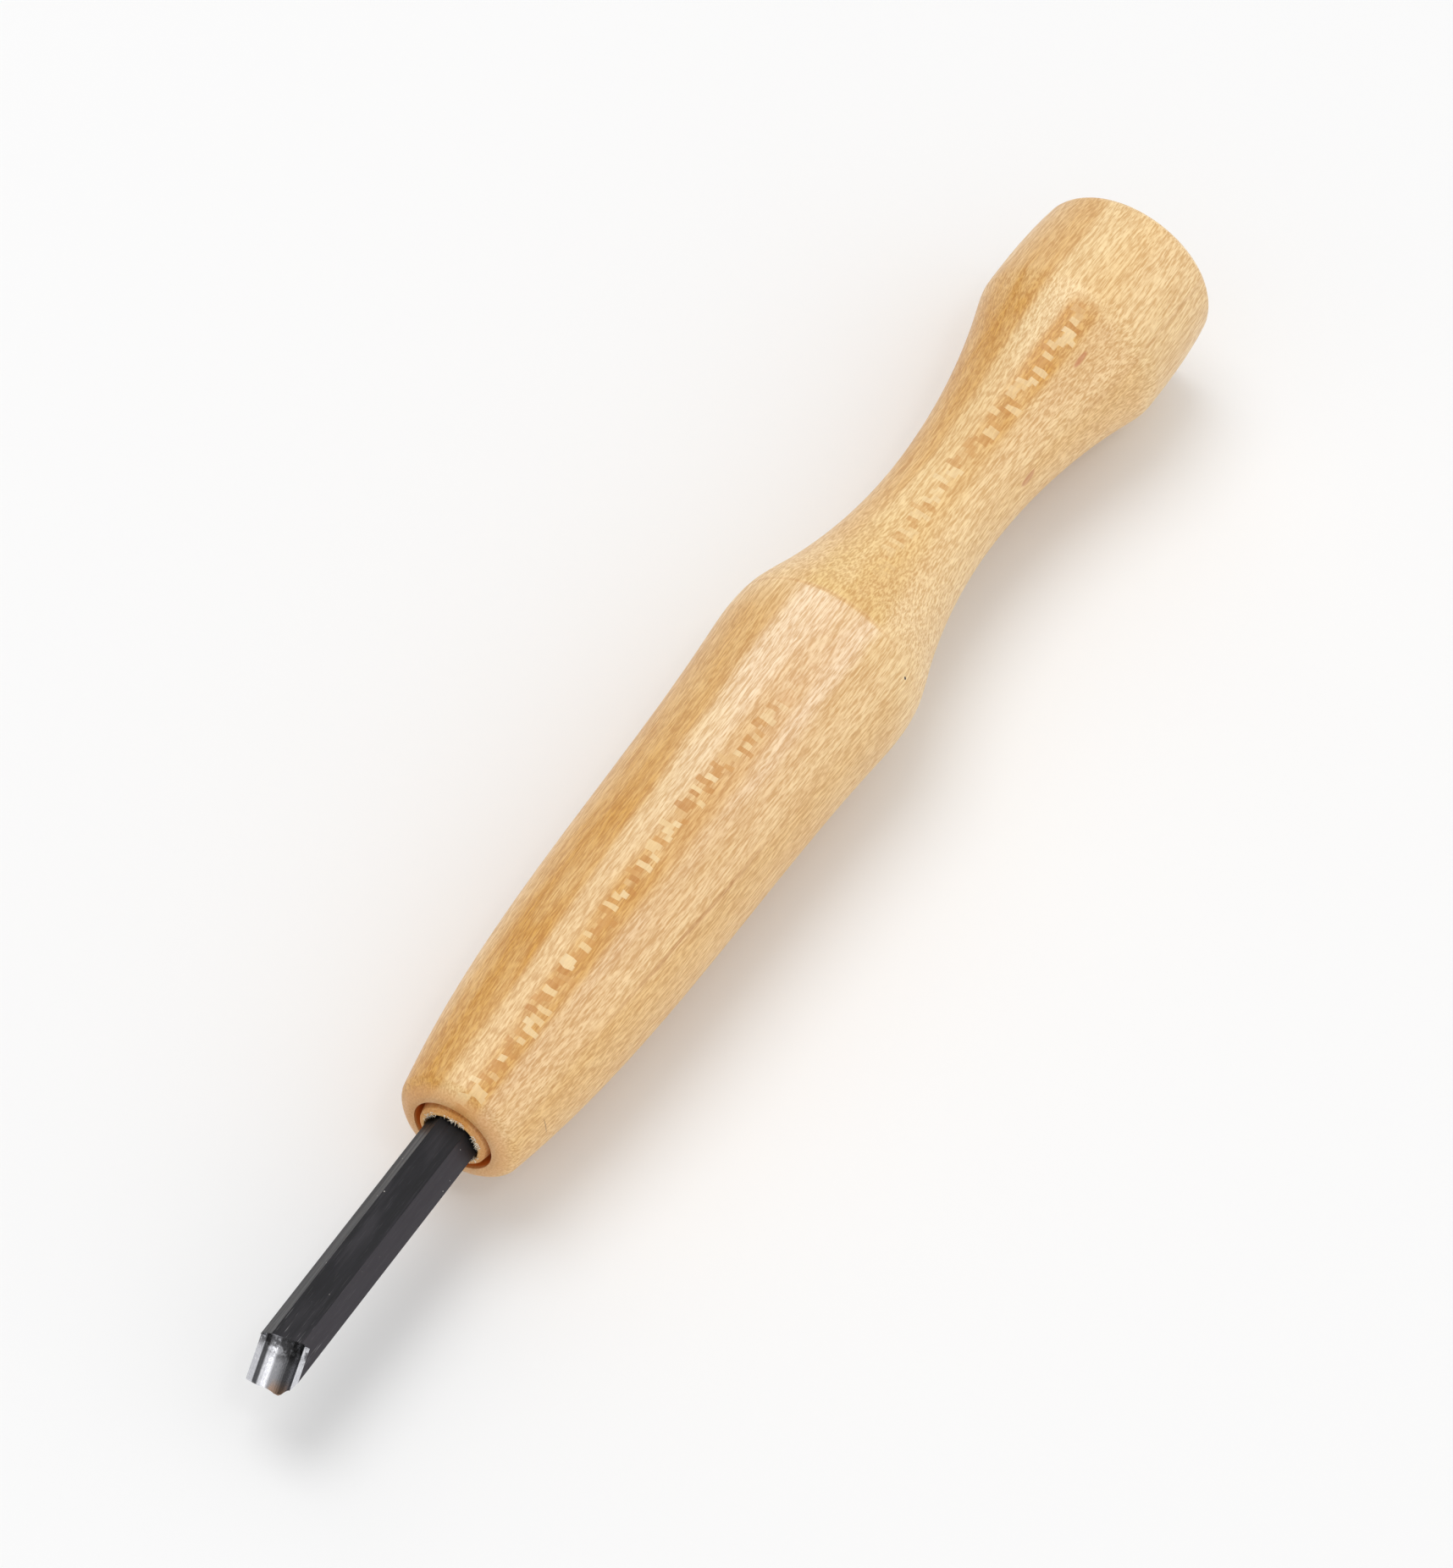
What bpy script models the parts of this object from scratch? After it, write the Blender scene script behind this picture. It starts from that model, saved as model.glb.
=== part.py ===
"""Lino cutter: a turned wooden handle, a wooden collet in its nose, and a hexagonal steel blade.

The tool lies along X with the cutting tip towards -X and the butt towards +X. +Z is up, and the
blade's flute faces up. The origin is on the resting surface, below the middle of the length.
Lengths are in metres.
"""

import math

import bmesh
import bpy
from mathutils import Matrix, Vector

MM = 0.001

# Overall
HANDLE_LENGTH = 118.0 * MM
BLADE_REACH = 29.4 * MM  # tip to the nose of the handle
OVERALL_LENGTH = HANDLE_LENGTH + BLADE_REACH
TURNING_STEPS = 48

# Handle, with stations measured from the nose towards the butt
NOSE_FACE_RADIUS = 4.5 * MM
NOSE_EDGE_RADIUS = 5.2 * MM
NOSE_EDGE = 0.35 * MM
NOSE_RADIUS = 6.07 * MM
NOSE_ROUNDING = 1.5 * MM
CONE_SLOPE = 0.0637  # gain in radius per length, from the nose to the grip's crest
CONE_END = 55.5 * MM
CREST_END = 65.0 * MM
WAIST_STATION = 83.5 * MM
WAIST_RADIUS = 5.82 * MM
FRONT_COVE_RADIUS = 55.0 * MM
REAR_COVE_RADIUS = 72.0 * MM
REAR_COVE_END = 105.4 * MM
RIDGE_END = 107.0 * MM
RIDGE_RADIUS = 9.5 * MM
BUTT_RADIUS = 9.1 * MM
BUTT_ROUNDING = 1.2 * MM

# Bore in the handle, with depths measured from the nose
MOUTH_RADIUS = 3.95 * MM
SEAT_RADIUS = 3.7 * MM
SEAT_DEPTH = 20.3 * MM
TANG_BORE_RADIUS = 2.9 * MM
TANG_BORE_DEPTH = 32.5 * MM
DRILL_POINT_DEPTH = 34.2 * MM

# Collet
COLLET_RADIUS = 3.45 * MM
COLLET_BORE_RADIUS = 2.75 * MM
COLLET_PROUD = 0.3 * MM
COLLET_SHOULDER_DROP = 0.8 * MM
COLLET_LENGTH = 20.3 * MM
COLLET_TAIL_CHAMFER = 0.4 * MM

# Blade, a hexagonal bar with one flat facing up
BAR_ACROSS_FLATS = 4.5 * MM
TANG_LENGTH = 31.5 * MM
TANG_CHAMFER = 0.5 * MM

# The tip is milled with the bar held askew, so its step and flute share one skewed direction.
# Their datum lies on the bar's axis, behind the tip.
GRIND_DATUM = 1.5 * MM
GRIND_SLOPE = math.radians(24.0)
GRIND_YAW = math.radians(14.6)
GRIND_ROLL = math.radians(18.0)
STEP_FLOOR_HEIGHT = -0.45 * MM  # the lands over the datum, square to the floor
STEP_WALL = 2.3 * MM  # the step's wall behind the datum, along the floor
FRONT_FACE = 1.3 * MM  # the front face before the datum, along the axis
FRONT_YAW = math.radians(6.5)
FLUTE_WIDTH = 3.6 * MM
FLUTE_DEPTH = 0.95 * MM
FLUTE_SIDE_SHIFT = 0.15 * MM
FLUTE_UNDERCUT = 0.12 * MM  # how far the flute runs on past the step's wall
HEEL_HEIGHT = 2.1 * MM  # the cutting edge below the bar's axis
HEEL_START = 0.5 * MM
HEEL_BEVEL = math.radians(28.0)
CUTTER_REACH = 12 * MM

COLOURS = {
    "handle": ((0.62, 0.36, 0.16, 1.0), 0.45, 0.0),
    "collet": ((0.60, 0.34, 0.16, 1.0), 0.65, 0.0),
    "blade": ((0.045, 0.042, 0.048, 1.0), 0.38, 1.0),
}


def crest_radius():
    """Largest radius of the handle."""
    return max(radius for _, radius in handle_outline())


def arc(centre, radius, start, end, steps):
    """Points on a circle, as (station, radius) pairs, from one angle to another."""
    angles = [start + (end - start) * i / steps for i in range(steps + 1)]
    return [(centre[0] + radius * math.cos(a), centre[1] + radius * math.sin(a)) for a in angles]


def hermite(start, start_slope, end, end_slope, steps):
    """A smooth curve between two points that leaves and arrives at the given slopes."""
    length = end[0] - start[0]
    points = []
    for i in range(1, steps):
        t = i / steps
        height = (
            (2 * t**3 - 3 * t**2 + 1) * start[1]
            + (t**3 - 2 * t**2 + t) * length * start_slope
            + (3 * t**2 - 2 * t**3) * end[1]
            + (t**3 - t**2) * length * end_slope
        )
        points.append((start[0] + length * t, height))
    return points


def cove(station):
    """(radius, slope) of the waist's hollow, which is a circle arc on each side of the waist."""
    away = station - WAIST_STATION
    bend = FRONT_COVE_RADIUS if away < 0 else REAR_COVE_RADIUS
    rise = math.sqrt(bend**2 - away**2)
    return WAIST_RADIUS + bend - rise, away / rise


def handle_outline():
    """(station, radius) points of the turned outside, from the nose face to the butt face."""
    points = [(0.0, NOSE_FACE_RADIUS), (NOSE_EDGE, NOSE_EDGE_RADIUS)]
    nose_end = (NOSE_ROUNDING, NOSE_RADIUS)
    points += hermite(points[-1], 1.3, nose_end, CONE_SLOPE, 6)
    points.append(nose_end)
    cone_end = (CONE_END, NOSE_RADIUS + CONE_SLOPE * (CONE_END - NOSE_ROUNDING))
    points.append(((NOSE_ROUNDING + CONE_END) / 2, (NOSE_RADIUS + cone_end[1]) / 2))
    points.append(cone_end)
    crest_end = (CREST_END, cove(CREST_END)[0])
    points += hermite(cone_end, CONE_SLOPE, crest_end, cove(CREST_END)[1], 7)
    for i in range(17):
        station = CREST_END + (REAR_COVE_END - CREST_END) * i / 16
        points.append((station, cove(station)[0]))
    butt_slope = (BUTT_RADIUS - RIDGE_RADIUS) / (HANDLE_LENGTH - BUTT_ROUNDING - RIDGE_END)
    points += hermite(points[-1], cove(REAR_COVE_END)[1], (RIDGE_END, RIDGE_RADIUS), butt_slope, 4)
    points.append((RIDGE_END, RIDGE_RADIUS))
    rounding = (HANDLE_LENGTH - BUTT_ROUNDING, BUTT_RADIUS - BUTT_ROUNDING)
    points += arc(rounding, BUTT_ROUNDING, math.pi / 2, 0.0, 6)
    return points


def handle_bore():
    """(depth, radius) points of the blind bore, from the drill's point out to the mouth."""
    return [
        (DRILL_POINT_DEPTH, 0.0),
        (TANG_BORE_DEPTH, TANG_BORE_RADIUS),
        (SEAT_DEPTH, TANG_BORE_RADIUS),
        (SEAT_DEPTH, SEAT_RADIUS),
        (0.0, MOUTH_RADIUS),
    ]


def collet_outline():
    """Closed loop of (station, radius) points of the collet, from its proud front rim."""
    tail = COLLET_LENGTH - COLLET_PROUD
    return [
        (-COLLET_PROUD, COLLET_BORE_RADIUS),
        (-COLLET_PROUD, COLLET_BORE_RADIUS + 0.15 * MM),
        (0.0, COLLET_RADIUS - 0.12 * MM),
        (COLLET_SHOULDER_DROP - COLLET_PROUD, COLLET_RADIUS),
        (tail - COLLET_TAIL_CHAMFER, COLLET_RADIUS),
        (tail, COLLET_RADIUS - COLLET_TAIL_CHAMFER),
        (tail, COLLET_BORE_RADIUS),
    ]


def clear_scene():
    for thing in list(bpy.data.objects):
        bpy.data.objects.remove(thing, do_unlink=True)


def make_collection(name, hidden):
    collection = bpy.data.collections.new(name)
    bpy.context.scene.collection.children.link(collection)
    collection.hide_render = hidden
    return collection


def make_material(name):
    colour, roughness, metallic = COLOURS[name]
    material = bpy.data.materials.new(name)
    material.use_nodes = True
    surface = material.node_tree.nodes["Principled BSDF"]
    surface.inputs["Base Color"].default_value = colour
    surface.inputs["Roughness"].default_value = roughness
    surface.inputs["Metallic"].default_value = metallic
    material.diffuse_color = colour
    return material


def add_object(name, mesh, collection, parent=None):
    thing = bpy.data.objects.new(name, mesh)
    collection.objects.link(thing)
    thing.parent = parent
    return thing


def add_empty(name, location, collection, parent=None):
    empty = add_object(name, None, collection, parent)
    empty.location = location
    return empty


def turned(name, profile, closed, collection, parent):
    """A body turned from (station, radius) points, its local +Z towards the tip (-X)."""
    mesh = bpy.data.meshes.new(name)
    points = [(radius, 0.0, -station) for station, radius in profile]
    edges = [(i, i + 1) for i in range(len(points) - 1)]
    if closed:
        edges.append((len(points) - 1, 0))
    mesh.from_pydata(points, edges, [])
    body = add_object(name, mesh, collection, parent)
    body.rotation_euler = (0.0, -math.pi / 2, 0.0)
    screw = body.modifiers.new("turning", "SCREW")
    screw.steps = TURNING_STEPS
    screw.render_steps = TURNING_STEPS
    screw.use_merge_vertices = True
    screw.merge_threshold = 0.00001
    screw.use_smooth_shade = True
    mesh.materials.append(make_material(name))
    return body


def mesh_from_bmesh(name, shape):
    mesh = bpy.data.meshes.new(name)
    shape.to_mesh(mesh)
    shape.free()
    return mesh


def hexagonal_bar(name, length, collection, parent):
    """A bar along local +X from the origin, with one flat facing up and a chamfered tail."""
    shape = bmesh.new()
    radius = BAR_ACROSS_FLATS / 2 / math.cos(math.pi / 6)
    bmesh.ops.create_cone(
        shape, cap_ends=True, segments=6, radius1=radius, radius2=radius, depth=length
    )
    shape.normal_update()
    tail_rim = [edge for edge in shape.edges if all(v.co.z > 0.0 for v in edge.verts)]
    bmesh.ops.bevel(shape, geom=tail_rim, offset=TANG_CHAMFER, segments=1, affect="EDGES")
    place = Matrix.Translation((length / 2, 0.0, 0.0)) @ Matrix.Rotation(math.pi / 2, 4, "Y")
    shape.transform(place)
    bar = add_object(name, mesh_from_bmesh(name, shape), collection, parent)
    bar.data.materials.append(make_material(name))
    return bar


def grind_frame():
    """Frame of the tip's milling: X back along the floor, Z square to it, at the datum."""
    turn = (
        Matrix.Rotation(GRIND_YAW, 4, "Z")
        @ Matrix.Rotation(-GRIND_SLOPE, 4, "Y")
        @ Matrix.Rotation(-GRIND_ROLL, 4, "X")
    )
    return Matrix.Translation((GRIND_DATUM, 0.0, 0.0)) @ turn


def box_cutter(name, low, high, frame, collection, parent):
    """A box between two corners, given in a frame."""
    shape = bmesh.new()
    size = Vector(high) - Vector(low)
    middle = (Vector(high) + Vector(low)) / 2
    bmesh.ops.create_cube(shape, size=1.0)
    shape.transform(frame @ Matrix.Translation(middle) @ Matrix.Diagonal((*size, 1.0)))
    return add_object(name, mesh_from_bmesh(name, shape), collection, parent)


def flute_cutter(collection, parent):
    """A cylinder along the floor that sinks the flute between the two lands."""
    bend = (FLUTE_WIDTH**2 / 4 + FLUTE_DEPTH**2) / (2 * FLUTE_DEPTH)
    shape = bmesh.new()
    bmesh.ops.create_cone(
        shape, cap_ends=True, segments=64, radius1=bend, radius2=bend, depth=CUTTER_REACH
    )
    middle = STEP_WALL + FLUTE_UNDERCUT - CUTTER_REACH / 2
    height = STEP_FLOOR_HEIGHT + bend - FLUTE_DEPTH
    place = Matrix.Translation((middle, -FLUTE_SIDE_SHIFT, height))
    shape.transform(grind_frame() @ place @ Matrix.Rotation(math.pi / 2, 4, "Y"))
    return add_object("flute_cutter", mesh_from_bmesh("flute_cutter", shape), collection, parent)


def cut(body, cutter):
    cutter.hide_render = True
    cutter.display_type = "WIRE"
    boolean = body.modifiers.new(cutter.name, "BOOLEAN")
    boolean.operation = "DIFFERENCE"
    boolean.solver = "EXACT"
    boolean.object = cutter


def make_handle(parts, axis):
    profile = handle_bore() + handle_outline() + [(HANDLE_LENGTH, 0.0)]
    return turned("handle", profile, False, parts, axis)


def make_collet(parts, axis):
    return turned("collet", collet_outline(), True, parts, axis)


def tip_cutters(collection, parent):
    """The step, the flute, the front face and the heel's bevel, in the order they are cut."""
    far = CUTTER_REACH
    grind = grind_frame()
    front = Matrix.Translation((GRIND_DATUM, 0.0, 0.0)) @ Matrix.Rotation(FRONT_YAW, 4, "Z")
    heel = Matrix.Translation((HEEL_START, 0.0, -HEEL_HEIGHT)) @ Matrix.Rotation(HEEL_BEVEL, 4, "Y")
    floor = (-far, -far, STEP_FLOOR_HEIGHT)
    corner = (-far, -far, -far)
    return [
        box_cutter("step_cutter", floor, (STEP_WALL, far, far), grind, collection, parent),
        flute_cutter(collection, parent),
        box_cutter("front_cutter", corner, (-FRONT_FACE, far, far), front, collection, parent),
        box_cutter("heel_cutter", corner, (far, far, 0.0), heel, collection, parent),
    ]


def make_blade(parts, cutters, axis):
    blade = hexagonal_bar("blade", BLADE_REACH + TANG_LENGTH, parts, axis)
    for cutter in tip_cutters(cutters, axis):
        cut(blade, cutter)
    return blade


def main():
    clear_scene()
    parts = make_collection("lino_cutter", hidden=False)
    cutters = make_collection("lino_cutter_cutters", hidden=True)
    height = crest_radius()
    nose = OVERALL_LENGTH / 2 - HANDLE_LENGTH
    handle_axis = add_empty("handle_axis", (nose, 0.0, height), parts)
    blade_axis = add_empty("blade_axis", (nose - BLADE_REACH, 0.0, height), parts)
    make_handle(parts, handle_axis)
    make_collet(parts, handle_axis)
    make_blade(parts, cutters, blade_axis)


main()
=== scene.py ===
"""The looks of the lino cutter: lacquered maple handle, maple collet, black hexagonal steel blade."""

import math
import random

import bmesh
import bpy
import numpy as np
from mathutils import Matrix, Vector


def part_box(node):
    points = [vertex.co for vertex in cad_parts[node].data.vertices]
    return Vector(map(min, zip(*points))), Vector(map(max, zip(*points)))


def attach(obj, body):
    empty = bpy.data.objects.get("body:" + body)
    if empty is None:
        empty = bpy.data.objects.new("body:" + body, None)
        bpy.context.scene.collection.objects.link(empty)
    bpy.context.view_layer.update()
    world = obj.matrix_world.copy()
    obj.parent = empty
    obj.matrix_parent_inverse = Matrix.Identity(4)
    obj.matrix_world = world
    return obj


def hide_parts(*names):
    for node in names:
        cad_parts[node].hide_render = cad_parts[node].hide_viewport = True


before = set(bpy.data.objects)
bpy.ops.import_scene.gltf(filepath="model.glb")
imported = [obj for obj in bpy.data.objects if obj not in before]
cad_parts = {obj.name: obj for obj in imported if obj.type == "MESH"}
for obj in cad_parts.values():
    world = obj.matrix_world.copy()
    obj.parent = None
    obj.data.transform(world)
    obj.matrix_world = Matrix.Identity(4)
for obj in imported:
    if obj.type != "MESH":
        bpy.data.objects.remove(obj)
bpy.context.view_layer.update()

MM = 0.001
HANDLE_LOW, HANDLE_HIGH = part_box("handle")
BLADE_LOW, BLADE_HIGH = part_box("blade")
NOSE = HANDLE_LOW.x
BUTT = HANDLE_HIGH.x
AXIS_HEIGHT = (HANDLE_LOW.z + HANDLE_HIGH.z) / 2
BAR_HALF = (BLADE_HIGH.z - BLADE_LOW.z) / 2  # from the bar's axis to one of its flats

# The camera looks down the tool from over its tip side.
AXIS_TILT = math.radians(32.0)  # the tool's axis to the image plane
AXIS_ROLL = math.radians(13.7)  # the flat-up direction to the camera, about the axis
AXIS_SLANT = math.radians(52.09)  # the tool's axis to the horizontal, in the image
CAMERA_DISTANCE = 0.680
CAMERA_TARGET = Vector((0.00095, 0.0, AXIS_HEIGHT))
LENS = 175.0
SENSOR = 36.0

# Directions back along the tool, across it to the camera's right, and out on the camera's side
ALONG = Vector((1.0, 0.0, 0.0))
ACROSS = Vector((0.0, -math.cos(AXIS_ROLL), -math.sin(AXIS_ROLL)))
OUTWARD = Vector((0.0, -math.sin(AXIS_ROLL), math.cos(AXIS_ROLL)))


# ---------------------------------------------------------------- node helpers


class Shader:
    """A short way to write a material's nodes. A value is a number, a colour or another node's output."""

    def __init__(self, name):
        self.material = bpy.data.materials.new(name)
        self.material.use_nodes = True
        self.tree = self.material.node_tree
        self.surface = self.tree.nodes["Principled BSDF"]

    def node(self, kind, **settings):
        made = self.tree.nodes.new(kind)
        for key, value in settings.items():
            setattr(made, key, value)
        return made

    def feed(self, socket, value):
        if isinstance(value, bpy.types.NodeSocket):
            self.tree.links.new(value, socket)
        else:
            socket.default_value = value

    def fed(self, node, *values):
        """The node's first output, once its inputs have the values in turn."""
        for socket, value in zip(node.inputs, values):
            self.feed(socket, value)
        return node.outputs[0]

    def finish(self, inputs):
        """The material, once its surface has the named inputs."""
        for name, value in inputs.items():
            self.feed(self.surface.inputs[name], value)
        return self.material

    def math(self, operation, a, b=0.0, c=0.0):
        return self.fed(self.node("ShaderNodeMath", operation=operation), a, b, c)

    def product(self, first, *others):
        result = first
        for factor in others:
            result = self.math("MULTIPLY", result, factor)
        return result

    def hypotenuse(self, x, y):
        squares = self.math("POWER", x, 2.0), self.math("POWER", y, 2.0)
        return self.math("SQRT", self.math("ADD", *squares))

    def vector(self, operation, a, b):
        return self.fed(self.node("ShaderNodeVectorMath", operation=operation), a, b)

    def dot(self, a, b):
        made = self.node("ShaderNodeVectorMath", operation="DOT_PRODUCT")
        self.fed(made, a, tuple(b))
        return made.outputs["Value"]

    def combine(self, x, y, z):
        return self.fed(self.node("ShaderNodeCombineXYZ"), x, y, z)

    def ranged(self, value, low, high, to_low=0.0, to_high=1.0, smooth=True):
        kind = "SMOOTHSTEP" if smooth else "LINEAR"
        made = self.node("ShaderNodeMapRange", interpolation_type=kind)
        return self.fed(made, value, low, high, to_low, to_high)

    def band(self, value, low, high, soft):
        """1 between low and high, falling to 0 over the soft distance outside."""
        rise = self.ranged(value, low - soft, low)
        fall = self.ranged(value, high, high + soft, 1.0, 0.0)
        return self.product(rise, fall)

    def noise(self, vector, scale=1.0, detail=2.0, roughness=0.5):
        made = self.node("ShaderNodeTexNoise")
        self.feed(made.inputs["Vector"], vector)
        made.inputs["Scale"].default_value = scale
        made.inputs["Detail"].default_value = detail
        made.inputs["Roughness"].default_value = roughness
        return made.outputs["Fac"]

    def dots(self, vector, scale):
        """The distance to the nearest of many scattered dots."""
        made = self.node("ShaderNodeTexVoronoi")
        self.feed(made.inputs["Vector"], vector)
        made.inputs["Scale"].default_value = scale
        return made.outputs["Distance"]

    def dice(self, value):
        """Three random numbers from 0 to 1, drawn from a value."""
        made = self.node("ShaderNodeTexWhiteNoise", noise_dimensions="1D")
        self.feed(made.inputs["W"], value)
        parts = self.node("ShaderNodeSeparateColor")
        self.feed(parts.inputs[0], made.outputs["Color"])
        return list(parts.outputs)[:3]

    def ramp(self, value, stops):
        made = self.node("ShaderNodeValToRGB")
        elements = made.color_ramp.elements
        for place, _ in stops[1:-1]:
            elements.new(place)
        for element, (place, colour) in zip(elements, stops):
            element.position = place
            element.color = colour
        return self.fed(made, value)

    def mix(self, factor, a, b, blend="MIX"):
        made = self.node("ShaderNodeMix", data_type="RGBA", blend_type=blend)
        self.feed(made.inputs[0], factor)
        self.feed(made.inputs[6], a)  # 6, 7 and output 2 are the ones for colours
        self.feed(made.inputs[7], b)
        return made.outputs[2]

    def tinted(self, colour, tint, *strengths):
        """The colour moved towards a tint by the product of the strengths."""
        return self.mix(self.product(*strengths), colour, tint)

    def bump(self, height, distance, strength):
        made = self.node("ShaderNodeBump")
        made.inputs["Strength"].default_value = strength
        made.inputs["Distance"].default_value = distance
        self.feed(made.inputs["Height"], height)
        return made.outputs[0]

    def place(self, origin):
        """The surface point in millimetres from an origin."""
        point = self.node("ShaderNodeTexCoord").outputs["Object"]
        moved = self.vector("SUBTRACT", point, origin)
        return self.vector("MULTIPLY", moved, (1 / MM, 1 / MM, 1 / MM))


def srgb(red, green, blue):
    """A colour given in 0 to 255 display values."""
    channels = []
    for value in (red, green, blue):
        part = value / 255
        channels.append(part / 12.92 if part <= 0.04045 else ((part + 0.055) / 1.055) ** 2.4)
    return (*channels, 1.0)


def grey(level):
    return (level, level, level, 1.0)


# ---------------------------------------------------------------- wood

# The handle's broad figure, with a tan that is painted light and a blush that is partly painted sheen
AMBER = srgb(208, 151, 64)
HONEY = srgb(225, 184, 122)
STRAW = srgb(229, 198, 146)
PINK_TAN = srgb(224, 184, 133)
# A pale tan, painted light from the floor's bounce on the handle's right side
BOUNCE_LIT_TAN = srgb(238, 200, 146)
RUDDY = srgb(232, 188, 122)
CREAM = srgb(241, 208, 152)
# A pale pink, partly the wood's tone and partly painted sheen on the bulge's upper side
BLUSH_AND_SHEEN = srgb(243, 213, 176)
OLIVE = srgb(222, 180, 98)
CREST_LINE = srgb(208, 150, 84)
GRAIN_LINE = srgb(186, 122, 58)

# Its fine marks. The two streaks multiply the colour under them.
LIGHT_STREAK = (1.14, 1.2, 1.3, 1.0)
DARK_STREAK = (0.82, 0.7, 0.56, 1.0)
RUST_FLECK = srgb(196, 126, 84)
DARK_DOT = srgb(52, 34, 24)
HAIRLINE = srgb(140, 92, 54)

# Its nose and bore, the sleeve and the torn fibres
END_GRAIN = srgb(220, 160, 98)
BORE_BROWN = srgb(230, 132, 48)
SLEEVE_STAIN = srgb(220, 146, 66)
SLEEVE_FRONT = srgb(236, 196, 132)
SLEEVE_BODY = srgb(214, 172, 118)
FRESH_WOOD = srgb(252, 244, 226)
FIBRE_SHADE = srgb(206, 170, 122)

# Places in the wood are in millimetres: a station is measured back from the nose.
HANDLE_LENGTH = (BUTT - NOSE) / MM
BORE_INSIDE = 3.97  # a little over the bore's radius
BORE_END = 40.0  # well past the bore's depth
CREST = 62.1  # the station of the line behind the crest's blush, which is partly painted sheen
CENTIMETRE = 10.0

# Stops of (station, level) along the handle: its radius in centimetres, then how strong each mark is
GIRTH = [
    (0, 0.6), (17, 0.7), (30, 0.79), (42, 0.88), (58, 0.97), (65, 0.94),
    (75, 0.69), (84, 0.58), (93, 0.65), (100, 0.83), (107, 0.95), (118, 0.91),
]
DASH_GAIN = [(0, 0.9), (24, 1.0), (46, 0.9), (52, 0.15), (66, 0.1), (74, 0.6), (104, 0.9), (106, 0.0)]
HONEY_GAIN = [(0, 0.8), (28, 0.7), (38, 0.1), (118, 0.0)]
CREAM_GAIN = [
    (0, 0.0), (44, 0.1), (58, 0.4), (60, 0.75), (80, 0.75), (92, 0.25), (104, 0.2), (105.6, 0.75),
    (118, 0.7),
]
BLUSH_AND_SHEEN_GAIN = [(0, 0.0), (36, 0.3), (50, 0.7), (61.9, 0.8), (62.3, 0.0), (118, 0.0)]
OLIVE_GAIN = [(0, 0.0), (62.0, 0.0), (62.6, 0.55), (68, 0.5), (78, 0.15), (118, 0.0)]
LEFT_AMBER_GAIN = [
    (0, 1.0), (32, 0.95), (48, 0.6), (58, 0.6), (62, 0.1), (74, 0.5), (90, 0.7), (97, 1.0), (107, 0.8),
    (118, 0.5),
]
MIDDLE_AMBER_GAIN = [
    (0, 0.75), (25, 0.9), (34, 0.6), (46, 0.45), (60, 0.1), (85, 0.25), (92, 0.9), (104, 1.0),
    (105.5, 0.1), (118, 0.05),
]
LINE_GAIN = [(0, 0.1), (16, 0.25), (22, 0.5), (34, 0.45), (40, 0.1), (66, 0.0), (100, 0.15), (118, 0.2)]

# Colours from the handle's left side to its right, as (share of the way, colour); the pale tan towards the
# right is painted light from the floor's bounce
ACROSS_FIGURE_AND_LIGHT = [
    (0.0, RUDDY), (0.16, HONEY), (0.25, STRAW), (0.36, STRAW), (0.48, HONEY),
    (0.6, PINK_TAN), (0.78, BOUNCE_LIT_TAN), (0.88, RUDDY), (1.0, RUDDY),
]

# Dark and pale dashes, by the shade from 0 to 1 that each row draws
DASH_COLOURS = [
    (0.0, srgb(190, 124, 48)), (0.45, srgb(208, 150, 78)),
    (0.55, srgb(240, 208, 152)), (1.0, srgb(248, 224, 176)),
]

# Single marks, as (station, across), half size, strength and colour
FLECKS = [
    ((100.5, 1.7), (1.2, 0.3), 0.7, RUST_FLECK),
    ((89.0, 4.6), (1.3, 0.3), 0.6, RUST_FLECK),
    ((61.3, 6.8), (0.16, 0.16), 1.0, DARK_DOT),
    ((4.6, 5.75), (0.07, 0.6), 0.6, HAIRLINE),
]


def grain_frame(shader):
    """(station, across, outward) sockets in millimetres, from the middle of the nose."""
    point = shader.place((NOSE, 0.0, AXIS_HEIGHT))
    return [shader.dot(point, axis) for axis in (ALONG, ACROSS, OUTWARD)]


def stretched(shader, grain, length, width, shift=0.0):
    """Coordinates whose unit is length along the grain and width across it."""
    station, across, outward = grain
    return shader.combine(
        shader.math("MULTIPLY_ADD", station, 1.0 / length, shift),
        shader.math("MULTIPLY_ADD", across, 1.0 / width, shift),
        shader.product(outward, 1.0 / width),
    )


def along_handle(shader, station, stops):
    """A level that follows (station, level) stops along the handle."""
    share = shader.math("DIVIDE", station, HANDLE_LENGTH)
    return shader.ramp(share, [(place / HANDLE_LENGTH, grey(level)) for place, level in stops])


def bowed(shader, grain):
    """Where a point lies between the handle's two sides, from -1 to 1, as the grain wanders."""
    station, across, _ = grain
    radius = shader.product(along_handle(shader, station, GIRTH), CENTIMETRE)
    drift = shader.noise(stretched(shader, grain, 30.0, 9.0))
    ripple = shader.noise(stretched(shader, grain, 6.0, 1.6, 3.0))
    wander = shader.math("MULTIPLY_ADD", drift, 1.6, -1.05)
    wander = shader.math("MULTIPLY_ADD", ripple, 0.5, wander)
    return shader.math("DIVIDE", shader.math("ADD", across, wander), radius)


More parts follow.
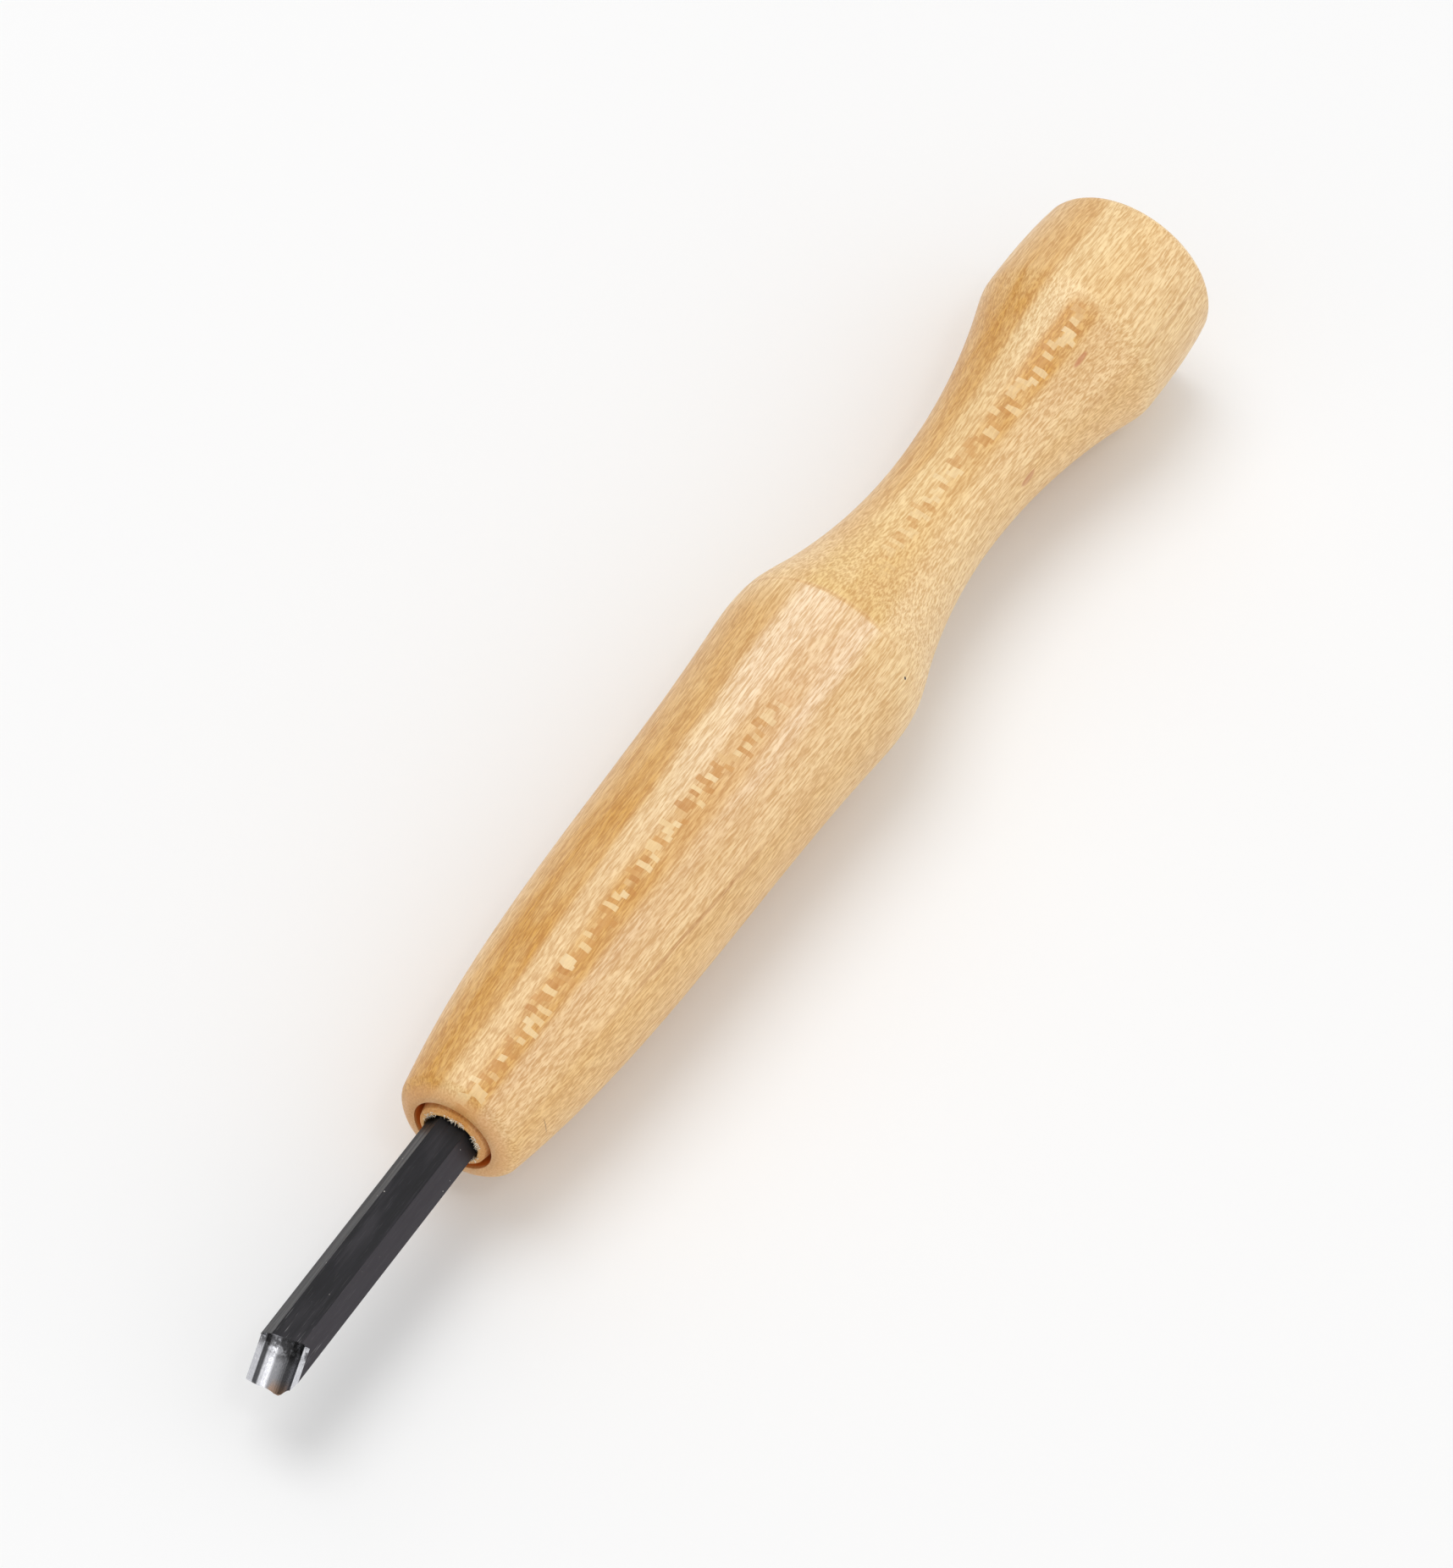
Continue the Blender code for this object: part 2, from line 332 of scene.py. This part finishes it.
def crest_tones(shader, station, side, colour):
    """Cream on the waist and butt, a blush before the crest that is partly painted sheen on the upper
    side, olive behind it and a line between.
    """
    colour = shader.mix(along_handle(shader, station, CREAM_GAIN), colour, CREAM)
    upper = shader.band(side, -0.5, 0.15, 0.2)
    # Partly painted sheen: the bulge's upper side is paler before the crest
    colour = shader.tinted(colour, BLUSH_AND_SHEEN, upper, along_handle(shader, station, BLUSH_AND_SHEEN_GAIN))
    colour = shader.tinted(colour, OLIVE, upper, along_handle(shader, station, OLIVE_GAIN))
    crest = shader.band(station, CREST, CREST + 0.2, 0.15)
    return shader.tinted(colour, CREST_LINE, crest, shader.ranged(side, 0.1, 0.5, 0.4, 0.1))


def amber_bands(shader, grain, side, colour):
    """One amber band near the left side and one by the middle, both patchy."""
    left = shader.product(
        shader.ranged(side, -1.15, -0.92),
        shader.ranged(side, -0.64, -0.52, 1.0, 0.0),
        along_handle(shader, grain[0], LEFT_AMBER_GAIN),
    )
    middle = shader.product(
        shader.band(side, -0.22, 0.02, 0.14),
        along_handle(shader, grain[0], MIDDLE_AMBER_GAIN),
    )
    patchy = shader.noise(stretched(shader, grain, 9.0, 1.5, 11.0), detail=3.0)
    patchy = shader.ranged(patchy, 0.3, 0.6, 0.65, 1.0)
    return shader.tinted(colour, AMBER, shader.math("MAXIMUM", left, middle), patchy)


def figure_and_painted_light(shader, grain):
    """The wood's slow colour: pale and tan bands, with painted light on the right side and partly painted
    sheen on the bulge, two amber ones, soft clouds and one grain line.
    """
    station = grain[0]
    side = bowed(shader, grain)
    colour = shader.ramp(shader.math("MULTIPLY_ADD", side, 0.5, 0.5), ACROSS_FIGURE_AND_LIGHT)
    beside_amber = shader.band(side, -0.62, -0.34, 0.12)
    colour = shader.tinted(colour, HONEY, beside_amber, along_handle(shader, station, HONEY_GAIN))
    colour = crest_tones(shader, station, side, colour)
    colour = amber_bands(shader, grain, side, colour)
    cloud = shader.noise(stretched(shader, grain, 14.0, 3.5, 31.0))
    colour = shader.mix(shader.ranged(cloud, 0.48, 0.7, 0.0, 0.4), colour, HONEY)
    colour = shader.mix(shader.ranged(cloud, 0.5, 0.3, 0.0, 0.3), colour, CREAM)
    line = shader.band(side, 0.66, 0.675, 0.02)
    return shader.tinted(colour, GRAIN_LINE, line, along_handle(shader, station, LINE_GAIN))


def fibres(shader, grain):
    """Fine lengthwise streaks, from 0 to 1, with longer and shorter ones over each other."""
    station, across, outward = grain
    curl = shader.noise(stretched(shader, grain, 3.0, 1.2, 5.0), detail=1.0)
    shift = shader.math("MULTIPLY_ADD", curl, 0.26, -0.13)
    waved = (station, shader.math("ADD", across, shift), outward)
    long_ones = shader.noise(stretched(shader, waved, 6.0, 0.22), roughness=0.6)
    short_ones = shader.noise(stretched(shader, waved, 1.8, 0.14, 9.0), roughness=0.6)
    stipple = shader.noise(stretched(shader, grain, 0.8, 0.2, 2.0), detail=1.0)
    total = shader.math("ADD", short_ones, shader.product(long_ones, 0.8))
    total = shader.math("MULTIPLY_ADD", stipple, 0.6, total)
    return shader.ranged(total, 1.02, 1.38, smooth=False)


def rays(shader, grain):
    """(mask, shade) of the short cross dashes where the cut runs along the wood's rays."""
    station, across, outward = grain
    jitter = shader.noise(stretched(shader, grain, 1.3, 1.6, 21.0), detail=1.0)
    row = shader.math("MULTIPLY_ADD", station, 1.7, shader.product(jitter, 1.1))
    place, shade, size = shader.dice(shader.math("FLOOR", row))
    slow = shader.noise(stretched(shader, grain, 22.0, 40.0, 7.0), detail=1.0)
    line = shader.math("SUBTRACT", shader.math("MULTIPLY_ADD", slow, 2.4, -2.1), 0.65)
    line = shader.math("MULTIPLY_ADD", place, 1.3, line)
    away = shader.math("ABSOLUTE", shader.math("SUBTRACT", across, line))
    reach = shader.math("MULTIPLY_ADD", size, 0.45, 0.3)
    mask = shader.ranged(shader.math("SUBTRACT", reach, away), -0.08, 0.08)
    gain = along_handle(shader, station, DASH_GAIN)
    facing = shader.ranged(outward, 2.0, 4.0)
    return shader.product(mask, gain, facing), shade


def fleck(shader, grain, place, size):
    """A soft spot at a (station, across) place on the outward side."""
    station, across, outward = grain
    x = shader.math("DIVIDE", shader.math("SUBTRACT", station, place[0]), size[0])
    y = shader.math("DIVIDE", shader.math("SUBTRACT", across, place[1]), size[1])
    spot = shader.ranged(shader.hypotenuse(x, y), 0.6, 1.0, 1.0, 0.0)
    return shader.product(spot, shader.ranged(outward, 0.5, 1.5))


def maple(shader, grain):
    """(colour, height) sockets of quarter-sawn maple."""
    colour = figure_and_painted_light(shader, grain)
    streak = fibres(shader, grain)
    light = shader.mix(streak, DARK_STREAK, LIGHT_STREAK)
    colour = shader.mix(1.0, colour, light, "MULTIPLY")
    mask, shade = rays(shader, grain)
    colour = shader.tinted(colour, shader.ramp(shade, DASH_COLOURS), mask, 0.7)
    for place, size, strength, tint in FLECKS:
        colour = shader.tinted(colour, tint, fleck(shader, grain, place, size), strength)
    return colour, streak


def nose_and_bore(shader, grain, colour):
    """Adds the nose's end grain and the bore's brown wall, which fades with depth."""
    station, across, outward = grain
    inside = shader.ranged(
        shader.hypotenuse(across, outward), BORE_INSIDE, BORE_INSIDE + 0.06, 1.0, 0.0
    )
    deep = shader.product(
        inside,
        shader.ranged(station, 0.02, 0.5),
        shader.ranged(station, 3.0, 9.0, 1.0, 0.25),
        shader.ranged(station, BORE_END, BORE_END + 1.0, 1.0, 0.0),
    )
    colour = shader.tinted(colour, END_GRAIN, shader.ranged(station, 0.1, 0.9, 1.0, 0.0), 0.6)
    return shader.mix(deep, colour, BORE_BROWN)


def handle_material():
    shader = Shader("handle_maple")
    grain = grain_frame(shader)
    colour, height = maple(shader, grain)
    return shader.finish({
        "Base Color": nose_and_bore(shader, grain, colour),
        "Roughness": shader.ranged(height, 0.0, 1.0, 0.5, 0.36, smooth=False),
        "Coat Weight": 0.2,
        "Coat Roughness": 0.22,
        "Normal": shader.bump(height, 0.03 * MM, 0.5),
    })


def sleeve_material():
    """Stained wood, paler on its front face, and plain on the part inside the handle."""
    shader = Shader("collet_maple")
    grain = grain_frame(shader)
    colour, height = maple(shader, grain)
    station = grain[0]
    colour = shader.mix(0.6, colour, SLEEVE_STAIN)
    colour = shader.mix(shader.ranged(station, -0.28, -0.2, 0.35, 0.0), colour, SLEEVE_FRONT)
    colour = shader.mix(shader.ranged(station, 0.6, 3.0, 0.0, 0.7), colour, SLEEVE_BODY)
    return shader.finish({
        "Base Color": colour,
        "Roughness": 0.72,
        "Normal": shader.bump(height, 0.05 * MM, 0.9),
    })


def fibre_material():
    shader = Shader("torn_fibres")
    tuft = shader.noise(shader.place((NOSE, 0.0, AXIS_HEIGHT)), scale=6.0)
    colour = shader.ramp(tuft, [(0.3, FIBRE_SHADE), (0.6, FRESH_WOOD), (0.7, FRESH_WOOD)])
    return shader.finish({"Base Color": colour, "Roughness": 0.85})


# ---------------------------------------------------------------- steel and paper

OXIDE_DARK = srgb(15, 15, 17)
OXIDE_MIDDLE = srgb(27, 26, 30)
OXIDE_PALE = srgb(46, 44, 48)
# Painted shade for the bar where it enters the sleeve
ROOT_SHADE = srgb(10, 9, 10)
# Painted reflection of the bright floor on the bar's right flats
RIGHT_FLATS_REFLECTION = srgb(62, 58, 64)
BARE_SCRAPE = srgb(150, 149, 150)
DUST = srgb(190, 186, 180)
STEEL_LINES = [(0.3, srgb(205, 206, 209)), (0.7, srgb(248, 248, 248))]
EDGE_TAN = srgb(176, 132, 92)
# Painted shade for the milling's back corner, under its wall
BACK_CORNER_SHADE = srgb(38, 36, 36)
PAPER = grey(0.9)

BAR_SHOWING = (NOSE - BLADE_LOW.x) / MM  # in millimetres, from the tip to the nose
GRIND_YAW = math.radians(14.6)  # the tip's milling is askew to the bar by this
SHADE_BANDS_WIDTH = 6.0  # in millimetres, across the milling
SHADE_BANDS_BLUE = 1.04  # the blue of the painted shade bands, over their red and green

# Painted shade across the milling, from the tool's -Y side to its +Y side, as (share of the way, level): a
# dark line beside the +Y land and a grey floor darkened as shade, the lands and one highlight strip kept
# bright
MILLING_SHADE_BANDS = [
    (0.0, 0.95), (0.1, 0.95), (0.13, 0.28), (0.3, 0.26), (0.45, 0.45), (0.48, 1.0),
    (0.59, 1.0), (0.615, 0.14), (0.665, 0.14), (0.68, 0.85), (1.0, 0.85),
]


def bar_frame(shader):
    """The point from the tip, and its (distance back, across, up) sockets, all in millimetres."""
    point = shader.place((BLADE_LOW.x, 0.0, AXIS_HEIGHT))
    axes = (ALONG, (0.0, -1.0, 0.0), (0.0, 0.0, 1.0))
    return point, [shader.dot(point, axis) for axis in axes]


def oxide_material():
    """Black oxide with streaks and clouds, scraped and dusty in places, lighter on its right flats by a
    painted reflection and darkest at its root by painted shade from the sleeve.
    """
    shader = Shader("black_oxide")
    point, bar = bar_frame(shader)
    back, across, _ = bar
    streaks = shader.noise(stretched(shader, bar, 14.0, 0.42), detail=3.0, roughness=0.6)
    clouds = shader.noise(stretched(shader, bar, 5.0, 1.6, 4.0))
    shade = shader.math("MULTIPLY_ADD", clouds, 0.6, shader.product(streaks, 0.6))
    colour = shader.ramp(shade, [(0.42, OXIDE_DARK), (0.6, OXIDE_MIDDLE), (0.78, OXIDE_PALE)])
    # Painted reflection: the flats to the right of the top one are lighter, as if they mirror the floor
    colour = shader.mix(shader.ranged(across, 1.28, 1.34, 0.0, 0.75), colour, RIGHT_FLATS_REFLECTION)
    scrapes = shader.noise(stretched(shader, bar, 3.0, 0.07, 1.0), roughness=0.7)
    near_tip = shader.ranged(back, 3.6, 7.0, 1.0, 0.12)
    colour = shader.tinted(colour, BARE_SCRAPE, shader.ranged(scrapes, 0.63, 0.72), near_tip)
    specks = shader.ranged(shader.dots(point, 0.85), 0.03, 0.06, 1.0, 0.0)
    colour = shader.tinted(colour, DUST, specks, shader.ranged(clouds, 0.5, 0.55))
    # Painted shade: the bar darkens towards the sleeve, which shades it
    root = shader.ranged(back, BAR_SHOWING - 2.6, BAR_SHOWING - 0.2)
    return shader.finish({
        "Base Color": shader.tinted(colour, ROOT_SHADE, root, 0.85),
        "Metallic": 0.25,
        "Specular IOR Level": 0.3,
        "Roughness": shader.ranged(streaks, 0.3, 0.7, 0.36, 0.55),
        "Normal": shader.bump(shade, 0.02 * MM, 0.6),
    })


def ground_material():
    """Milled steel: fine lines along the cut, painted shade in bands across it, a tan tint near the edge
    and painted shade in one back corner.
    """
    shader = Shader("ground_steel")
    point, bar = bar_frame(shader)
    back, across, up = bar
    along_cut = (math.cos(GRIND_YAW), math.sin(GRIND_YAW), 0.0)
    across_cut = (-math.sin(GRIND_YAW), math.cos(GRIND_YAW), 0.0)
    cut = [shader.dot(point, along_cut), shader.dot(point, across_cut), up]
    lines = shader.noise(stretched(shader, cut, 2.6, 0.09), detail=3.0, roughness=0.6)
    shade_patches = shader.noise(point, scale=1.4, detail=3.0, roughness=0.6)
    colour = shader.ramp(lines, STEEL_LINES)
    # Painted shade and highlight: the milling's walls and floor darkened in bands across it, its highlight
    # strip left bright
    share = shader.math("MULTIPLY_ADD", cut[1], 1 / SHADE_BANDS_WIDTH, 0.5)
    shade_bands = [(place, (level, level, level * SHADE_BANDS_BLUE, 1.0)) for place, level in MILLING_SHADE_BANDS]
    colour = shader.mix(1.0, colour, shader.ramp(share, shade_bands), "MULTIPLY")
    # A tan tint near the cutting edge, on the milling's right side
    at_edge = shader.ranged(back, 0.4, 1.6, 0.55, 0.0)
    colour = shader.tinted(colour, EDGE_TAN, shader.band(across, 0.5, 1.7, 0.4), at_edge)
    # Painted shade, in patches, towards the back wall of the milling
    behind = shader.ranged(back, 2.3, 3.4)
    colour = shader.tinted(colour, BACK_CORNER_SHADE, behind, shader.ranged(shade_patches, 0.42, 0.58), 0.8)
    return shader.finish({
        "Base Color": colour,
        "Metallic": 1.0,
        "Roughness": shader.ranged(lines, 0.3, 0.7, 0.3, 0.18),
        "Normal": shader.bump(lines, 0.012 * MM, 0.5),
    })


def paper_material():
    shader = Shader("floor_paper")
    return shader.finish({"Base Color": PAPER, "Roughness": 0.9, "Specular IOR Level": 0.1})


# ---------------------------------------------------------------- meshes

SAME_POINT = 0.01 * MM  # closer points of an outline are one point
ON_AXIS = 1e-7
MOUTH_LIMIT = 4.2 * MM  # at the nose, the bore's mouth is narrower than this and the rim wider
BORE_REACH = 40 * MM  # the bore ends before this
TURNS_INWARD = 100 * MM  # points at one station go outwards before this and inwards past it
SHARP_TURN = math.radians(30)  # the shading keeps an edge from this turn on

SPLINTERS = 130
SPLINTER_FLATS = (0, 0, 0, 0, 5, 5, 5, 4, 4, 1, 1, 2, 3)  # the bar's flats, counted from the top one
SIXTH_TURN = math.pi / 3
ON_FLAT = 0.02 * MM  # a point this near one of the bar's flats lies on it
EDGE_SOFTENING = 0.05 * MM


def linked(name, data):
    """A new object that holds the data, in the scene."""
    made = bpy.data.objects.new(name, data)
    bpy.context.scene.collection.objects.link(made)
    return made


def mesh_object(name, shape, *materials):
    """A new object with the bmesh's shape, which is freed."""
    mesh = bpy.data.meshes.new(name)
    shape.to_mesh(mesh)
    shape.free()
    for material in materials:
        mesh.materials.append(material)
    return linked(name, mesh)


def profile_of(node):
    """The distinct (station, radius) points of a turned CAD node, in metres from the nose."""
    found = set()
    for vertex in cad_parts[node].data.vertices:
        x, y, z = vertex.co
        radius = math.hypot(y, z - AXIS_HEIGHT)
        found.add((round(x - NOSE, 6), round(radius, 6)))
    return merged(sorted(found))


def merged(points):
    """The points without those that repeat one already kept."""
    kept = []
    for point in points:
        if all(math.dist(point, other) > SAME_POINT for other in kept):
            kept.append(point)
    return kept


def smooth_between(points, step, corner):
    """Fills an outline with a curve, in steps of a length, that keeps turns over corner degrees sharp.

    A long stretch swings wide of its two ends after a slight turn, as along the sleeve.
    """
    knots = np.array(points)
    chords = np.diff(knots, axis=0)
    lengths = np.hypot(chords[:, 0], chords[:, 1])
    units = chords / lengths[:, None]
    before = np.vstack([units[:1], units])
    after = np.vstack([units, units[-1:]])
    turns = np.degrees(np.arccos(np.clip((before * after).sum(1), -1, 1)))
    share = np.r_[1.0, lengths][:, None]
    other = np.r_[lengths, 1.0][:, None]
    blended = (before * other + after * share) / (share + other)
    blended /= np.linalg.norm(blended, axis=1)[:, None]
    leaving = np.where((turns > corner)[:, None], after, blended)
    arriving = np.where((turns > corner)[:, None], before, blended)
    filled = [knots[0]]
    for i, length in enumerate(lengths):
        count = max(1, round(length / step))
        t = (np.arange(1, count + 1) / count)[:, None]
        filled += list(
            (2 * t**3 - 3 * t**2 + 1) * knots[i]
            + (t**3 - 2 * t**2 + t) * length * leaving[i]
            + (3 * t**2 - 2 * t**3) * knots[i + 1]
            + (t**3 - t**2) * length * arriving[i + 1]
        )
    return filled


def ring_of(shape, station, radius, sides):
    """A circle of vertices round the tool's axis, or one vertex where the radius is 0."""
    middle = Vector((NOSE + station, 0.0, AXIS_HEIGHT))
    if radius < ON_AXIS:
        return [shape.verts.new(middle)]
    ring = []
    for i in range(sides):
        angle = 2 * math.pi * i / sides
        offset = ACROSS * (radius * math.sin(angle)) + OUTWARD * (radius * math.cos(angle))
        ring.append(shape.verts.new(middle + offset))
    return ring


def skin(shape, first, second, sides):
    """Faces between two rings, either of which may be a single point."""
    for i in range(sides):
        j = (i + 1) % sides
        if len(first) == 1:
            shape.faces.new((first[0], second[j], second[i]))
        elif len(second) == 1:
            shape.faces.new((first[i], first[j], second[0]))
        else:
            shape.faces.new((first[i], first[j], second[j], second[i]))


def lathe(name, profile, sides, material):
    """A turned piece from (station, radius) points."""
    shape = bmesh.new()
    rings = [ring_of(shape, station, radius, sides) for station, radius in profile]
    for first, second in zip(rings, rings[1:]):
        skin(shape, first, second, sides)
    bmesh.ops.recalc_face_normals(shape, faces=shape.faces)
    piece = mesh_object(name, shape, material)
    piece.data.shade_smooth()
    piece.data.set_sharp_from_angle(angle=SHARP_TURN)
    return piece


def handle_piece():
    """The handle, turned from the bore's end out over the nose's rim and on to the butt's middle."""
    points = profile_of("handle")
    mouth = max(p[1] for p in points if p[0] < SAME_POINT and p[1] < MOUTH_LIMIT)
    outside = [p for p in points if p[1] > mouth + 0.1 * MM]
    bore = [p for p in points if p not in outside and p[0] < BORE_REACH]
    outside.sort(key=lambda p: (p[0], -p[1] if p[0] > TURNS_INWARD else p[1]))
    bore.sort(key=lambda p: (-p[0], p[1]))
    profile = smooth_between(bore, step=1.0 * MM, corner=5.0)
    profile += smooth_between([bore[-1]] + outside, step=0.35 * MM, corner=35.0)[1:]
    profile.append((profile[-1][0], 0.0))
    return lathe("turned_handle", profile, 192, handle_material())


def collet_piece():
    """The sleeve, from the back of its bore to the front and round. A thin ring at its back stays open."""
    points = profile_of("collet")
    bore_radius = min(p[1] for p in points)
    inner = [p for p in points if p[1] < bore_radius + SAME_POINT]
    outer = sorted(p for p in points if p not in inner)
    front, back = min(inner), max(inner)
    loop = smooth_between([back, front] + outer + [back], step=0.25 * MM, corner=20.0)
    return lathe("sleeve", loop[:-1], 128, sleeve_material())


def about_axis(x, radius, angle):
    """The point at a radius from the tool's axis, where an angle of 0 is straight up."""
    return Vector((x, radius * math.sin(angle), AXIS_HEIGHT + radius * math.cos(angle)))


def sliver(shape, root, tip, width):
    """A three-sided splinter that narrows from its root to its tip."""
    along = (tip - root).normalized()
    side = along.cross(ALONG).normalized() * width
    lift = along.cross(side).normalized() * width * 0.6
    base = [shape.verts.new(root + offset) for offset in (side, -side, lift)]
    point = shape.verts.new(tip)
    shape.faces.new(base)
    for i in range(3):
        shape.faces.new((base[i], base[(i + 1) % 3], point))


def torn_fibres_piece():
    """Pale splinters that the drill left round the sleeve's bore, clear of the bar's flats."""
    sleeve_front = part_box("collet")[0].x
    chance = random.Random(11)
    shape = bmesh.new()
    for _ in range(SPLINTERS):
        flat = SIXTH_TURN * chance.choice(SPLINTER_FLATS)
        angle = flat + chance.uniform(-0.36, 0.36)
        turn = angle + chance.uniform(-0.2, 0.2)
        inner = chance.uniform(2.36, 2.6) * MM / max(math.cos(turn - flat), 0.9)
        outer = chance.uniform(2.78, 3.1) * MM
        front = sleeve_front + chance.uniform(0.0, 0.05) * MM
        reach = chance.uniform(-0.22, 0.15) * MM
        width = chance.uniform(0.035, 0.08) * MM
        sliver(shape, about_axis(front, outer, angle), about_axis(front + reach, inner, turn), width)
    bmesh.ops.recalc_face_normals(shape, faces=shape.faces)
    return mesh_object("torn_fibres", shape, fibre_material())


def on_bar(face):
    """True for a face on one of the bar's six flats, or at its hidden tail."""
    points = [vertex.co - Vector((0.0, 0.0, AXIS_HEIGHT)) for vertex in face.verts]
    for sixth in range(6):
        angle = SIXTH_TURN * sixth
        flat = Vector((0.0, math.sin(angle), math.cos(angle)))
        if all(point.dot(flat) > BAR_HALF - ON_FLAT for point in points):
            return True
    return all(point.x > NOSE for point in points)


def blade_piece():
    """The bar again, with its edges softened, its milled faces bright and the rest black."""
    shape = bmesh.new()
    shape.from_mesh(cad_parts["blade"].data)
    bmesh.ops.remove_doubles(shape, verts=shape.verts, dist=0.005 * MM)
    bmesh.ops.dissolve_limit(
        shape, angle_limit=math.radians(1.0), verts=shape.verts, edges=shape.edges
    )
    for face in shape.faces:
        face.material_index = 0 if on_bar(face) else 1
    piece = mesh_object("hexagonal_blade", shape, oxide_material(), ground_material())
    bevel = piece.modifiers.new("softened_edges", "BEVEL")
    bevel.width = EDGE_SOFTENING
    bevel.segments = 2
    bevel.limit_method = "ANGLE"
    bevel.angle_limit = math.radians(14)
    return piece


# ---------------------------------------------------------------- studio

LIGHT_DISTANCE = 3.0
FLOOR_SIZE = 6.0
SKY_DARK_SIDE = (-0.15, 0.97, 0.12)  # low down on the tool's +Y side
SKY_LEVEL = 0.825
SKY_DARK_LEVEL = 0.2


def camera():
    """Makes the camera, and returns its (right, up, back) directions."""
    data = bpy.data.cameras.new("camera")
    data.lens = LENS
    data.sensor_width = SENSOR
    data.clip_start = 0.01
    data.clip_end = 20.0
    made = linked("camera", data)
    along = ALONG * math.cos(AXIS_TILT) + OUTWARD * math.sin(AXIS_TILT)
    right = along * math.cos(AXIS_SLANT) + ACROSS * math.sin(AXIS_SLANT)
    up = along * math.sin(AXIS_SLANT) - ACROSS * math.cos(AXIS_SLANT)
    back = right.cross(up)
    turn = Matrix((right, up, back)).transposed().to_4x4()
    made.matrix_world = Matrix.Translation(CAMERA_TARGET + back * CAMERA_DISTANCE) @ turn
    bpy.context.scene.camera = made
    return right, up, back


def area_light(name, direction, size, power):
    """A round light in a direction from the tool, turned to face it."""
    data = bpy.data.lights.new(name, "AREA")
    data.shape = "DISK"
    data.size = size
    data.energy = power
    made = linked(name, data)
    made.location = CAMERA_TARGET + direction.normalized() * LIGHT_DISTANCE
    made.rotation_euler = (CAMERA_TARGET - made.location).to_track_quat("-Z", "Y").to_euler()


def sky():
    """A bright white room with one dark side, which gives the steel its contrast."""
    world = bpy.data.worlds.new("studio")
    world.use_nodes = True
    tree = world.node_tree
    background = tree.nodes["Background"]
    background.inputs["Color"].default_value = grey(1.0)
    direction = tree.nodes.new("ShaderNodeTexCoord").outputs["Generated"]
    facing = tree.nodes.new("ShaderNodeVectorMath")
    facing.operation = "DOT_PRODUCT"
    tree.links.new(direction, facing.inputs[0])
    facing.inputs[1].default_value = SKY_DARK_SIDE
    level = tree.nodes.new("ShaderNodeMapRange")
    level.interpolation_type = "SMOOTHSTEP"
    level.inputs["From Min"].default_value = 0.72
    level.inputs["From Max"].default_value = 0.9
    level.inputs["To Min"].default_value = SKY_LEVEL
    level.inputs["To Max"].default_value = SKY_DARK_LEVEL
    tree.links.new(facing.outputs["Value"], level.inputs["Value"])
    tree.links.new(level.outputs[0], background.inputs["Strength"])
    bpy.context.scene.world = world


def studio(right, up, back):
    """The room, two lights placed as the camera sees them, and the paper floor."""
    bpy.context.scene.view_settings.view_transform = "Standard"
    sky()
    area_light("overhead", -right * 0.16 + up * 0.74 + back * 0.65, size=2.0, power=27.5)
    area_light("strip", right * 0.29 + up * 0.28 + back * 0.94, size=0.4, power=3.0)
    bpy.ops.mesh.primitive_plane_add(size=FLOOR_SIZE)
    floor = bpy.context.active_object
    floor.name = "floor"
    floor.data.materials.append(paper_material())


def main():
    view = camera()
    studio(*view)
    pieces = [
        (handle_piece(), "handle", "handle_wood"),
        (collet_piece(), "collet", "collet_wood"),
        (blade_piece(), "blade", "blade_steel"),
    ]
    for piece, node, slot in pieces:
        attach(piece, node)
        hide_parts(node)
    splinters = torn_fibres_piece()
    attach(splinters, "collet")


main()
